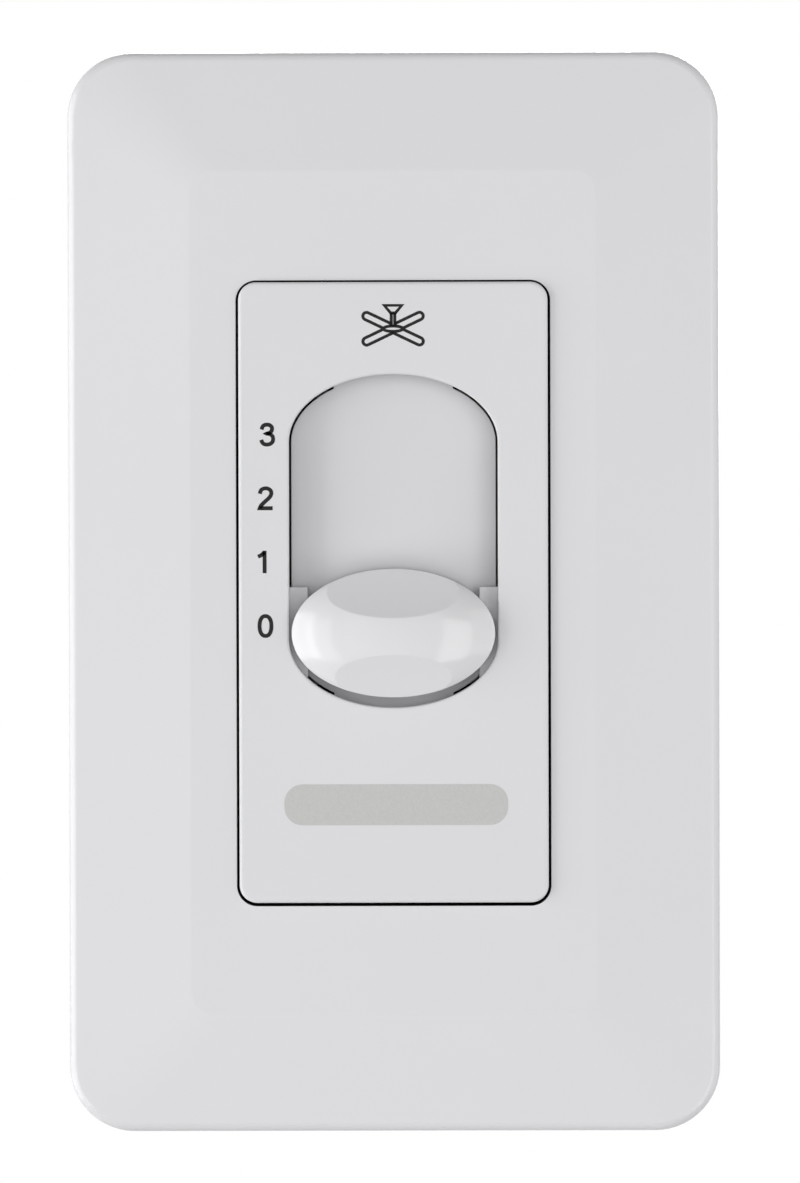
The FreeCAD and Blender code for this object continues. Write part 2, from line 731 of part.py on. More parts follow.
# Strap: a steel yoke with the standard screw holes, openings for the slider and snap legs, and a ground tab
def strap():
    body = newBody("strapBody")
    outline = sketch(body, "strapOutline")
    rounded(outline, strapWidth, strapHeight, strapCorner)
    pad(body, outline, strapWall)
    middle = sketch(body, "strapMiddle")
    rounded(middle, strapMiddleWidth, strapMiddleHeight, strapCorner)
    pad(body, middle, strapWall)
    opening = sketch(body, "strapOpening", up=(channelLow + channelHigh) / 2, out=strapWall)
    rectangle(opening, slotHalf * 2, channelHigh - channelLow + 2 * strapMargin)
    pocket(body, opening, strapWall)
    for side, where in bothSides:
        high = sketch(body, f"boxSlot{where}", up=side * boxScrewUp, out=strapWall)
        rounded(high, slotAcross, slotUp, slotCorner)
        pocket(body, high, strapWall)
        hole = sketch(body, f"plateHole{where}", up=side * plateScrewUp, out=strapWall)
        circle(hole, screwRadius + threadGap)
        pocket(body, hole, strapWall)
        for level, end in bothEnds:
            slot = sketch(body, f"legSlot{where}{end}", across=side * (skirtHalf + snapWall / 2),
                          up=level * snapUp, out=strapWall)
            rectangle(slot, snapWall + sideGap, snapHeight + 2 * sideGap)
            pocket(body, slot, strapWall)
            small = sketch(body, f"caseHole{where}{end}", across=side * caseScrewAcross,
                           up=level * caseScrewUp, out=strapWall)
            circle(small, caseScrewRadius + 2 * threadGap)
            pocket(body, small, strapWall)
    tab = sketch(body, "groundTab", across=-tabAcross, up=-tabUp, out=-tabDepth)
    rectangle(tab, tabWidth, strapWall)
    pad(body, tab, tabDepth + strapWall)
    hole = sketch(body, "groundHole", role="XY_Plane", across=-tabAcross, up=tabDepth / 2,
                  out=-tabUp - strapWall)
    circle(hole, screwRadius + threadGap)
    made = pocket(body, hole, strapWall * 4)
    made.Reversed = True
    return node(body, "strap")


def boxScrew():
    """One of the two screws that hold the strap to the wall box, then its twin below."""
    up = boxScrewUp
    shank = rod("boxShank", screwRadius, 0, up, -boxScrewLength, 0)
    neck = rod("boxNeck", screwRadius - neckGap, 0, up, 0, strapWall)
    head = rod("boxHead", headRadius, 0, up, strapWall, strapWall + headRise)
    slot = block("boxSlot", -headRadius * 2, headRadius * 2, strapWall + headRise / 2,
                 strapWall + headRise * 2, up - driveSlot / 2, up + driveSlot / 2)
    upper = without("boxScrewUpper", joined("boxScrewSolid", [shank, neck, head]), [slot])
    lower = mirrored("boxScrewLower", upper, (0, 0, 1))
    return node(group("boxScrewPair", [upper, lower]), "box_screws")


def adapter():
    """The frame behind the cover plate: four lugs for its catches, and holes over the strap's screws."""
    body = newBody("adapterBody")
    outer = sketch(body, "adapterOutline", out=strapWall)
    inset = plateWall + adapterGap
    rounded(outer, plateWidth - 2 * inset, plateHeight - 2 * inset, plateCorner - inset)
    pad(body, outer, adapterWall)
    inner = sketch(body, "adapterOpening", out=strapWall + adapterWall)
    rounded(inner, bezelWidth + 4 * sideGap, bezelHeight + 4 * sideGap, bezelCorner)
    pocket(body, inner, adapterWall)
    front = strapWall + adapterWall
    for side, where in bothSides:
        access = sketch(body, f"access{where}", up=side * boxScrewUp, out=front)
        circle(access, headRadius + accessRoom)
        pocket(body, access, adapterWall)
        seat = sketch(body, f"screwSeat{where}", up=side * plateScrewUp, out=front)
        circle(seat, adapterHead + sideGap)
        pocket(body, seat, adapterSink)
        hole = sketch(body, f"screwHole{where}", up=side * plateScrewUp, out=front)
        circle(hole, screwRadius + sideGap)
        pocket(body, hole, adapterWall)
        for level, end in bothEnds:
            lug = sketch(body, f"lug{where}{end}", across=side * (plateInner - sideGap - lugReach / 2),
                         up=level * catchUp, out=front - lugWall)
            rectangle(lug, lugReach, catchHeight)
            pad(body, lug, lugWall)
    return node(body, "plate_adapter")


def adapterScrews():
    up = plateScrewUp
    seat = strapWall + adapterWall - adapterSink
    shank = rod("adapterShank", screwRadius, 0, up, -adapterScrewLength, seat)
    head = rod("adapterHead", adapterHead, 0, up, seat, seat + adapterSink - threadGap)
    slot = block("adapterSlot", -headRadius * 2, headRadius * 2, seat + adapterSink / 2,
                 seat + adapterSink * 2, up - driveSlot / 2, up + driveSlot / 2)
    upper = without("adapterScrewUpper", joined("adapterScrewSolid", [shank, head]), [slot])
    lower = mirrored("adapterScrewLower", upper, (0, 0, 1))
    return node(group("adapterScrewPair", [upper, lower]), "adapter_screws")


# Back case: a rounded box open at the front, with four screw bosses, two wiring recesses and four ledges
def backCase():
    shell = roundedBlock("case", caseWidth, caseHeight, -caseDepth, 0, caseCorner)
    hollow = roundedBlock("caseInside", caseWidth - 2 * caseWall, caseHeight - 2 * caseWall,
                          -caseDepth + caseWall, overrun, caseCorner - caseWall)
    box = without("caseShell", shell, [hollow])
    added, removed = [box], []
    floor = -caseDepth + caseWall
    for side, where in bothSides:
        added.append(sideBlock(f"recessWalls{where}", side, recessFloor - recessWall, caseWidth / 2,
                               -recessNear - recessDepth - recessWall, -recessNear + recessWall,
                               recessLow - recessWall, recessHigh + recessWall))
        removed.append(sideBlock(f"recess{where}", side, recessFloor, caseWidth / 2 + overrun,
                                 -recessNear - recessDepth, -recessNear, recessLow, recessHigh))
        inner, outer = recessFloor - 2 * recessWall, recessFloor + recessWall
        removed.append(sideRod(f"tipHole{where}", side, screwRadius + 2 * sideGap, inner, outer,
                               -terminalOut, terminalUp))
        removed.append(sideBlock(f"tabSlot{where}", side, inner, outer,
                                 -tabNear - terminalWall - threadGap, -tabNear + threadGap,
                                 terminalUp - tabHalf - threadGap, terminalUp + tabHalf + threadGap))
        for level, end in bothEnds:
            x, z = side * caseScrewAcross, level * caseScrewUp
            added.append(rod(f"boss{where}{end}", bossRadius, x, z, floor - overrun, 0))
            removed.append(rod(f"bossHole{where}{end}", caseScrewRadius + threadGap, x, z,
                               -caseScrewLength, overrun))
            start = frameLow if level < 0 else frameHigh - ledgeHeight
            added.append(sideBlock(f"ledge{where}{end}", side, frameWidth / 2 - ledgeWidth,
                                   caseWidth / 2 - caseWall / 2, floor - overrun, boardBack,
                                   start, start + ledgeHeight))
            middle, reach = level * snapUp, snapHeight / 2 + slideGap
            removed.append(sideBlock(f"hookRelief{where}{end}", side, skirtHalf - slideGap,
                                     skirtHalf + snapWall + snapHook + slideGap,
                                     -strapWall - slideGap, overrun, middle - reach, middle + reach))
    solid = joined("caseSolid", added)
    return node(without("caseBody", solid, removed), "housing")


def caseScrews():
    screws = []
    for side, where in bothSides:
        for level, end in bothEnds:
            x, z = side * caseScrewAcross, level * caseScrewUp
            shank = rod(f"caseShank{where}{end}", caseScrewRadius, x, z,
                        overrun - caseScrewLength, strapWall)
            head = rod(f"caseHead{where}{end}", caseHead, x, z, strapWall, strapWall + caseHeadRise)
            slot = block(f"caseDrive{where}{end}", x - caseHead * 2, x + caseHead * 2,
                         strapWall + caseHeadRise / 2, strapWall + caseHeadRise * 2,
                         z - driveSlot / 2, z + driveSlot / 2)
            solid = joined(f"caseScrewSolid{where}{end}", [shank, head])
            screws.append(without(f"caseScrew{where}{end}", solid, [slot]))
    return node(group("caseScrewSet", screws), "housing_screws")


# Guide frame: the channel of the carriage, closed at both ends, with a bar that has four notches
def guideFrame():
    half = frameWidth / 2
    outer = block("frameOuter", -half, half, boardFront, 0, frameLow, frameHigh)
    channel = block("frameChannel", -channelHalf, channelHalf, boardFront - overrun, overrun,
                    channelLow, channelHigh)
    bar = block("detentBar", -barWidth / 2, barWidth / 2, -barDepth, 0,
                channelLow - overrun, channelHigh + overrun)
    ring = without("frameRing", outer, [channel])
    notches = []
    for k in range(4):
        notch = doc.addObject("Part::Box", f"notch{k}")
        notch.Placement.Rotation = FreeCAD.Rotation(FreeCAD.Vector(1, 0, 0), 45)
        bind(notch, "Length", barWidth + 2 * overrun)
        bind(notch, "Width", notchDepth * math.sqrt(2))
        bind(notch, "Height", notchDepth * math.sqrt(2))
        placeAt(notch, -barWidth / 2 - overrun, -barDepth, k * detentPitch - knobRest - notchDepth)
        notches.append(notch)
    return node(without("frameBody", joined("frameSolid", [ring, bar]), notches), "guide_frame")


# Carriage and what rides in it
def carriage():
    half = carriageHeight / 2
    blank = block("carriageBlank", -legOuter, legOuter, carriageBack, carriageFront,
                  -knobRest - half, half - knobRest)
    bore = springRadius + springWire + slideGap
    cuts = [rod("springBore", bore, 0, -knobRest, carriageBack - overrun, springTop)]
    notchHalf = (legHeight + slideGap) / 2
    for side, where in bothSides:
        cuts.append(sideBlock(f"legNotch{where}", side, legInner, legOuter + overrun,
                              carriageBack - overrun, carriageFront + overrun,
                              -knobRest - notchHalf, notchHalf - knobRest))
    lips = []
    for level, end in bothEnds:
        near = bridgeHalf + slideGap
        low = near - knobRest if level > 0 else -near - knobRest - lipWall
        lips.append(block(f"lip{end}", -bridgeReach, bridgeReach, carriageBack - lipRise, carriageBack,
                          low, low + lipWall))
    body = without("carriageCut", blank, cuts)
    return node(joined("carriageBody", [body] + lips), "carriage")


def detentSpring():
    """A bowed leaf: two flat feet on the carriage and a round nose that stands in a notch."""
    body = newBody("detentLeaf")
    bind(body, "Placement.Base.z", -knobRest)
    drawing = sketch(body, "leafProfile", role="YZ_Plane")
    back, wall = -number(carriageFront), number(leafWall)
    end, bend, nose, tip = number(leafEnd), number(leafBend), number(leafNose), number(barDepth - notchBite)
    middle = tip + nose

    def touch(radius, level):
        """Where a flank from the bend touches the nose."""
        run, rise = bend, level - middle
        reach = math.hypot(run, rise)
        angle = math.atan2(-rise, run) + math.acos(radius / reach)
        return radius * math.cos(angle), middle - radius * math.sin(angle), angle

    outerX, outerY, outerAngle = touch(nose, back - wall)
    innerX, innerY, innerAngle = touch(nose - wall, back)
    top, bottom = back - wall, back
    outerPath = [(end, top), (bend, top), (outerX, outerY)]
    innerPath = [(end, bottom), (bend, bottom), (innerX, innerY)]
    for path in (outerPath, innerPath):
        for a, b in zip(path, path[1:]):
            for flip in (1, -1):
                drawing.addGeometry(Part.LineSegment(point(a[1], flip * a[0]), point(b[1], flip * b[0])))
    for flip in (1, -1):
        drawing.addGeometry(Part.LineSegment(point(top, flip * end), point(bottom, flip * end)))
    for radius, x, y in ((nose, outerX, outerY), (nose - wall, innerX, innerY)):
        bow = Part.Arc(point(y, x), point(middle - radius, 0), point(y, -x))
        drawing.addGeometry(bow)
    pad(body, drawing, leafWidth, even=True)
    return node(body, "detent_spring")


def contactSpring():
    body = newBody("contactCoil")
    bind(body, "Placement.Base.z", -knobRest)
    drawing = sketch(body, "coilWire", role="XY_Plane")
    start = number(springWire + threadGap - springTop)
    middle = point(number(springRadius), start)
    ring = drawing.addGeometry(Part.Circle(middle, FreeCAD.Vector(0, 0, 1), number(springWire)))
    dimension(drawing, "Radius", ring, springWire)
    dimension(drawing, "DistanceX", -1, 1, ring, 3, springRadius)
    dimension(drawing, "DistanceY", -1, 1, ring, 3, springWire + threadGap - springTop)
    coil = body.newObject("PartDesign::AdditiveHelix", "coil")
    coil.Profile = drawing
    coil.ReferenceAxis = (drawing, ["V_Axis"])
    coil.Mode = 0
    turns = 4
    free = springTop - bridgeFront - 2 * springWire - 2 * threadGap
    bind(coil, "Pitch", free / turns)
    bind(coil, "Height", free)
    doc.recompute()
    return node(body, "contact_spring")


def bridgeContact():
    bar = block("bridgeBar", -bridgeReach, bridgeReach, bridgeBack, bridgeFront,
                -knobRest - bridgeHalf, bridgeHalf - knobRest)
    feet = [sideBlock(f"foot{where}", side, contactAcross - footHalf, contactAcross + footHalf,
                      contactFront, bridgeBack, -knobRest - bridgeHalf, bridgeHalf - knobRest)
            for side, where in bothSides]
    return node(joined("bridgeBody", [bar] + feet), "bridge_contact")


# Fixed side of the switch: a board with one long rail and a contact for each speed
def contactStrip(name, side, bottom, top):
    face = sideBlock(name + "Face", side, contactAcross - contactHalf, contactAcross + contactHalf,
                     boardFront, contactFront, bottom, top)
    tails = []
    for k, z in enumerate((bottom + tailIn, top - tailIn)):
        tails.append(sideBlock(f"{name}Tail{k}", side, contactAcross - tailHalf, contactAcross + tailHalf,
                               boardBack - tailProud, boardFront, z - tailHalf, z + tailHalf))
    tailPlaces.extend((side, z) for z in (bottom + tailIn, top - tailIn))
    return node(joined(name + "Strip", [face] + tails), name)


def capacitor(name, side):
    middle = side * capAcross
    front = boardBack - capStand
    can = block(name + "Can", middle - capWidth / 2, middle + capWidth / 2, front - capDepth, front,
                capUp - capHeight / 2, capUp + capHeight / 2)
    pins = [rod(f"{name}Pin{end}", pinRadius, middle, capUp + k * capPinUp,
                front - overrun, boardFront + pinProud) for k, end in bothEnds]
    return node(joined(name + "Body", [can] + pins), name)


def resistor(name, side):
    x, out = side * resistorAcross, boardBack - resistorStand
    half = resistorLength / 2
    parts = [rodUp(name + "Core", resistorRadius, x, out, capUp - half, capUp + half)]
    for k, end in bothEnds:
        near, far = half - leadBite, resistorUp + pinRadius + leadOver
        low, high = (capUp - far, capUp - near) if k < 0 else (capUp + near, capUp + far)
        parts.append(rodUp(f"{name}Lead{end}", pinRadius, x, out, low, high))
        parts.append(rod(f"{name}Foot{end}", leadFoot, x, capUp + k * resistorUp, out,
                         boardFront - pinProud))
    return node(joined(name + "Body", parts), name)


def contactBoard():
    half = frameWidth / 2
    blank = block("boardBlank", -half, half, boardBack, boardFront, frameLow, frameHigh)
    holes = []
    for i, (side, z) in enumerate(tailPlaces):
        reach = tailHalf + threadGap
        holes.append(sideBlock(f"tailHole{i}", side, contactAcross - reach, contactAcross + reach,
                               boardBack - overrun, boardFront + overrun, z - reach, z + reach))
    for side, where in bothSides:
        for k, end in bothEnds:
            for x, up, what in ((capAcross, capPinUp, "cap"), (resistorAcross, resistorUp, "resistor")):
                holes.append(rod(f"{what}Hole{where}{end}", pinRadius + threadGap, side * x, capUp + k * up,
                                 boardBack - overrun, boardFront + overrun))
    return node(without("boardBody", blank, holes), "contact_board")


# Wiring points: a brass plate in each recess with a clamp and a screw, and a wire to the board
def terminal(name, side):
    face = sideBlock(name + "Face", side, recessFloor, recessFloor + terminalWall,
                     -recessNear - recessDepth + terminalEdge, -recessNear - terminalEdge,
                     recessLow + terminalEdge, recessHigh - terminalEdge)
    tab = sideBlock(name + "Tab", side, tabInner, recessFloor + terminalWall,
                    -tabNear - terminalWall, -tabNear, terminalUp - tabHalf, terminalUp + tabHalf)
    hole = sideRod(name + "Hole", side, screwRadius + threadGap, recessFloor - overrun,
                   recessFloor + terminalWall + overrun, -terminalOut, terminalUp)
    return node(without(name + "Plate", joined(name + "Bent", [face, tab]), [hole]), name)


def clamp(name, side):
    inner = recessFloor + terminalWall + clampGap
    plate = sideBlock(name + "Plate", side, inner, inner + terminalWall, -terminalOut - clampHalf,
                      clampHalf - terminalOut, terminalUp - clampHalf, terminalUp + clampHalf)
    hole = sideRod(name + "Hole", side, screwRadius + sideGap, inner - overrun,
                   inner + terminalWall + overrun, -terminalOut, terminalUp)
    return node(without(name + "Body", plate, [hole]), name)


def terminalScrews():
    screws = []
    for side, where in bothSides:
        seat = recessFloor + 2 * terminalWall + clampGap
        shank = sideRod(f"wireShank{where}", side, screwRadius, recessFloor - tipReach, seat,
                        -terminalOut, terminalUp)
        head = sideRod(f"wireHead{where}", side, headRadius, seat, seat + headRise,
                       -terminalOut, terminalUp)
        slot = sideBlock(f"wireDrive{where}", side, seat + headRise / 2, seat + headRise * 2,
                         -terminalOut - headRadius * 2, headRadius * 2 - terminalOut,
                         terminalUp - driveSlot / 2, terminalUp + driveSlot / 2)
        screws.append(without(f"wireScrew{where}", joined(f"wireSolid{where}", [shank, head]), [slot]))
    return node(group("wireScrewPair", screws), "terminal_screws")


def groundScrew():
    x, out = -tabAcross, -tabDepth / 2
    under = -tabUp - strapWall / 2
    shank = rodUp("groundShank", screwRadius, x, out, under, under + groundReach)
    head = rodUp("groundHead", headRadius, x, out, under - headRise, under)
    slot = block("groundDrive", x - driveSlot / 2, x + driveSlot / 2, out - headRadius * 2,
                 out + headRadius * 2, under - headRise * 2, under - headRise / 2)
    return node(without("groundBody", joined("groundSolid", [shank, head]), [slot]), "ground_screw")


def jumper(name, side):
    """A short insulated wire from a terminal's tab to the back of the board."""
    start = (tabInner + wireInset, -tabNear - terminalWall - wireRadius, terminalUp)
    end = (contactAcross + wireInset, boardBack - wireRadius, frameLow + wireEnd)
    path = [start, (start[0] - wireBow, start[1] - wireBow, start[2] + wireRise),
            (end[0] + wireSide, end[1] - wireBack, end[2] - wireDip), end]
    points = [FreeCAD.Vector(side * number(x), -number(out), number(z)) for x, out, z in path]
    curve = Part.BSplineCurve()
    curve.interpolate(points)
    spine = Part.Wire(curve.toShape())
    ring = Part.Circle(points[0], points[1] - points[0], number(wireRadius))
    wire = doc.addObject("Part::Feature", name + "Wire")
    wire.Shape = spine.makePipeShell([Part.Wire(ring.toShape())], True, False)
    return node(wire, name)


coverPlate()
adapter()
adapterScrews()
insert()
trackPlate()
strap()
boxScrew()
backCase()
caseScrews()
guideFrame()
knob()
carriage()
detentSpring()
contactSpring()
bridgeContact()
contactStrip("common_rail", -1, channelLow + sideGap, channelHigh - sideGap)
for step, name in ((1, "contact_low"), (2, "contact_medium"), (3, "contact_high")):
    level = step * detentPitch - knobRest
    contactStrip(name, 1, level - contactLength / 2, level + contactLength / 2)
for side, name in ((-1, "low"), (1, "medium")):
    capacitor(f"capacitor_{name}", side)
    resistor(f"resistor_{name}", side)
contactBoard()
for side, name in ((-1, "line"), (1, "load")):
    terminal(f"{name}_terminal", side)
    clamp(f"{name}_clamp", side)
    jumper(f"{name}_jumper", side)
terminalScrews()
groundScrew()

doc.recompute()
for thing in nodes:
    bad = [s for s in thing.State if s in ("Invalid", "Error")]
    shape = thing.Shape
    if bad or shape.isNull() or not shape.isValid():
        raise RuntimeError(f"{thing.Label} did not build: {bad}")
    shape.exportStep(f"parts/{thing.Label}.step")
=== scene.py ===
import math

import bmesh
import bpy
from mathutils import Matrix, Vector


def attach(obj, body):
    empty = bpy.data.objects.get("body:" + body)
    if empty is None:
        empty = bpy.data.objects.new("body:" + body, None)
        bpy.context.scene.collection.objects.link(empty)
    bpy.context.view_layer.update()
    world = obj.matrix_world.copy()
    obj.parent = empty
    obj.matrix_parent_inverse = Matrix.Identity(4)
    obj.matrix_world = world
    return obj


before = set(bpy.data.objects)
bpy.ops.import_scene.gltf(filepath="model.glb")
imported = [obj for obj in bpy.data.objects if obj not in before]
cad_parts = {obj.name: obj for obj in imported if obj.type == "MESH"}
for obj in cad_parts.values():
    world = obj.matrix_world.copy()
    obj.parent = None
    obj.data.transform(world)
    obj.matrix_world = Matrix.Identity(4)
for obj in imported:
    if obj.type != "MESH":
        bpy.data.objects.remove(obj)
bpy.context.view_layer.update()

# Fan speed slide control, seen from the front: x to the right, z up, the front towards -y, metres
mm = 0.001


# Shader maths: a socket that can be added, multiplied and so on
class Wire:
    def __init__(self, nodes, socket):
        self.nodes = nodes
        self.socket = socket

    def calc(self, operation, first, second):
        made = self.nodes.node("ShaderNodeMath", {"operation": operation}, {0: first, 1: second})
        return Wire(self.nodes, made.outputs[0])

    def __add__(self, other):
        return self.calc("ADD", self, other)

    def __radd__(self, other):
        return self.calc("ADD", other, self)

    def __sub__(self, other):
        return self.calc("SUBTRACT", self, other)

    def __rsub__(self, other):
        return self.calc("SUBTRACT", other, self)

    def __mul__(self, other):
        return self.calc("MULTIPLY", self, other)

    def __rmul__(self, other):
        return self.calc("MULTIPLY", other, self)

    def above(self, level):
        return self.calc("GREATER_THAN", self, level)

    def below(self, level):
        return self.calc("LESS_THAN", self, level)

    def atLeast(self, level):
        return self.calc("MAXIMUM", self, level)

    def size(self):
        return self.calc("ABSOLUTE", self, 0.0)


# A node tree, of a material or of the world: one method makes a node, the other fills a socket
class Nodes:
    def __init__(self, tree):
        self.tree = tree
        tree.nodes.clear()

    def node(self, kind, settings=None, sockets=None):
        made = self.tree.nodes.new(kind)
        for key, value in (settings or {}).items():
            setattr(made, key, value)
        for key, value in (sockets or {}).items():
            self.feed(made.inputs[key], value)
        return made

    def feed(self, socket, value):
        if isinstance(value, Wire):
            self.tree.links.new(value.socket, socket)
        elif isinstance(value, tuple) and len(value) == 3 and socket.type == "RGBA":
            socket.default_value = (*value, 1.0)
        else:
            socket.default_value = value


# A material with one shader, and the patterns that vary it over a surface
class Paint(Nodes):
    def __init__(self, name, roughness=0.4, metallic=0.0, specular=0.5, coat=0.0):
        self.material = bpy.data.materials.new(name)
        self.material.use_nodes = True
        super().__init__(self.material.node_tree)
        self.shader = self.node("ShaderNodeBsdfPrincipled", {}, {
            "Roughness": roughness, "Metallic": metallic,
            "Specular IOR Level": specular, "Coat Weight": coat})
        self.node("ShaderNodeOutputMaterial", {}, {"Surface": Wire(self, self.shader.outputs[0])})
        self.place = Wire(self, self.node("ShaderNodeTexCoord").outputs["Object"])

    def set(self, **sockets):
        for key, value in sockets.items():
            self.feed(self.shader.inputs[key.replace("_", " ")], value)

    def noise(self, scale, detail=3.0, stretch=(1, 1, 1)):
        where = self.place
        if stretch != (1, 1, 1):
            where = self.vector("MULTIPLY", where, stretch)
        made = self.node("ShaderNodeTexNoise", {}, {"Vector": where, "Scale": scale, "Detail": detail})
        return Wire(self, made.outputs["Fac"])

    def cells(self, scale):
        made = self.node("ShaderNodeTexVoronoi", {}, {"Vector": self.place, "Scale": scale})
        return Wire(self, made.outputs["Color"])

    def vector(self, operation, first, second):
        made = self.node("ShaderNodeVectorMath", {"operation": operation}, {0: first, 1: second})
        return Wire(self, made.outputs["Vector"])

    def along(self, letter):
        made = self.node("ShaderNodeSeparateXYZ", {}, {"Vector": self.place})
        return Wire(self, made.outputs[letter])

    def mix(self, factor, first, second):
        made = self.node("ShaderNodeMix", {"data_type": "RGBA"}, {"Factor": factor, 6: first, 7: second})
        return Wire(self, made.outputs[2])

    def spread(self, value, low, high, start=0.0, end=1.0):
        made = self.node("ShaderNodeMapRange", {}, {
            "Value": value, "From Min": start, "From Max": end, "To Min": low, "To Max": high})
        return Wire(self, made.outputs["Result"])

    def relief(self, height, strength, distance, edge):
        # A bump, over edges that look rounded by the radius given as edge
        soft = self.node("ShaderNodeBevel", {"samples": 6}, {"Radius": edge})
        made = self.node("ShaderNodeBump", {}, {
            "Height": height, "Strength": strength, "Distance": distance,
            "Normal": Wire(self, soft.outputs["Normal"])})
        self.set(Normal=Wire(self, made.outputs["Normal"]))


# Painted shade: where a gap is too narrow for light, what lies in it is painted dark in its base colour:
# between two levels out from the wall, inside a rectangle of half width x and half height z with round
# corners, or outside it, in mm
gapShadeColour = (0.008, 0.007, 0.008)
shadedGaps = {
    "plate": {"from": 0, "to": 6.9, "x": 16.87, "z": 33.57, "corner": 2.2, "up": -0.09, "outer": False},
    "insert": {"from": 0, "to": 6.9, "x": 16.2, "z": 32.9, "corner": 1.5, "up": 0, "outer": True},
    "floor": {"from": 0, "to": 4.28, "x": 40, "z": 60, "corner": 1, "up": 0, "outer": False},
    "strap": {"from": 1.1, "to": 2, "x": 18, "z": 36, "corner": 1, "up": 0, "outer": False},
}


# Paints the shade of a narrow gap into the base colour, over the surface's own tone
def inShade(paint, tone, gap):
    if not gap:
        return tone
    out = 0 - paint.along("Y")
    deep = out.above(gap["from"] * mm) * out.below(gap["to"] * mm)
    wide = (paint.along("X").size() - (gap["x"] - gap["corner"]) * mm).atLeast(0)
    high = ((paint.along("Z") - gap["up"] * mm).size() - (gap["z"] - gap["corner"]) * mm).atLeast(0)
    inside = (wide * wide + high * high).below((gap["corner"] * mm) ** 2)
    return paint.mix(deep * (1 - inside if gap["outer"] else inside), tone, gapShadeColour)


def shades(colour, low, high):
    # The darkest and the palest shade of a colour
    return tuple(c * low for c in colour), tuple(min(c * high, 1) for c in colour)


# Moulded plastic: a faint cloud in the colour and the gloss, and a very fine skin
moulded = {"cloudScale": 38, "fineShare": 0.5, "glossSwing": 0.03,
           "noiseLow": 0.3, "noiseHigh": 1.1, "depth": 0.05}


def plastic(name, colour, roughness,
            grain=0.02, grainScale=2600, cloud=0.02, edge=0.15, coat=0.0, gap=None):
    paint = Paint(name, coat=coat)
    wide = paint.noise(moulded["cloudScale"], detail=2)
    tone = paint.mix(wide, *shades(colour, 1 - cloud, 1 + cloud))
    # Base colour, with painted shade where a gap is given
    paint.set(Base_Color=inShade(paint, tone, gap))
    fine = paint.noise(grainScale, detail=2)
    swing = moulded["glossSwing"]
    gloss = paint.spread(wide + fine * moulded["fineShare"], roughness - swing, roughness + swing,
                         moulded["noiseLow"], moulded["noiseHigh"])
    paint.set(Roughness=gloss)
    paint.relief(fine, grain, moulded["depth"] * mm, edge * mm)
    return paint.material


# Plated or bare metal, brushed along one direction or with crystals of zinc
plated = {"dark": 0.86, "pale": 1.1, "crystals": 420, "smoother": 0.08, "rougher": 0.1,
          "noiseLow": 0.2, "noiseHigh": 0.8, "bump": 0.12, "depth": 0.02, "edge": 0.12}


def metal(name, colour, roughness, stretch=(1, 1, 1), scale=900, spangle=0.0, gap=None):
    paint = Paint(name, metallic=1.0)
    lines = paint.noise(scale, detail=4, stretch=stretch)
    tone = paint.mix(lines, *shades(colour, plated["dark"], plated["pale"]))
    if spangle:
        grey = paint.node("ShaderNodeRGBToBW", {}, {"Color": paint.cells(plated["crystals"])})
        shade = paint.spread(Wire(paint, grey.outputs[0]), 1 - spangle, 1 + spangle)
        pale = paint.node("ShaderNodeCombineColor", {}, {"Red": shade, "Green": shade, "Blue": shade})
        tone = paint.vector("MULTIPLY", tone, Wire(paint, pale.outputs[0]))
    # Base colour, with painted shade where a gap is given
    paint.set(Base_Color=inShade(paint, tone, gap))
    gloss = paint.spread(lines, roughness - plated["smoother"], roughness + plated["rougher"],
                         plated["noiseLow"], plated["noiseHigh"])
    paint.set(Roughness=gloss)
    paint.relief(lines, plated["bump"], plated["depth"] * mm, plated["edge"] * mm)
    return paint.material


# Resistor: a pale body with four rings across it, tinned leads
resistor = {
    "middle": 6.0,  # height of the body's middle, mm
    "ringHalf": 0.35,
    "bodyHalf": 4.01,
    "tone": (0.58, 0.44, 0.26),
    "dark": 0.9,
    "tin": (0.72, 0.72, 0.70),
    "rings": ((2.6, (0.30, 0.16, 0.01)), (1.4, (0.02, 0.02, 0.02)),
              (0.2, (0.45, 0.12, 0.01)), (-2.4, (0.55, 0.36, 0.05))),
    "roughness": 0.45, "cloudScale": 300, "grainScale": 1500, "grain": 0.05, "depth": 0.03, "edge": 0.1,
}


def resistorPaint():
    paint = Paint("resistorBody", roughness=resistor["roughness"])
    up = paint.along("Z") - resistor["middle"] * mm
    colour = paint.mix(paint.noise(resistor["cloudScale"]), *shades(resistor["tone"], resistor["dark"], 1))
    for offset, ring in resistor["rings"]:
        colour = paint.mix((up - offset * mm).size().below(resistor["ringHalf"] * mm), colour, ring)
    end = up.size().above(resistor["bodyHalf"] * mm)
    paint.set(Base_Color=paint.mix(end, colour, resistor["tin"]), Metallic=end)
    fine = paint.noise(resistor["grainScale"])
    paint.relief(fine, resistor["grain"], resistor["depth"] * mm, resistor["edge"] * mm)
    return paint.material
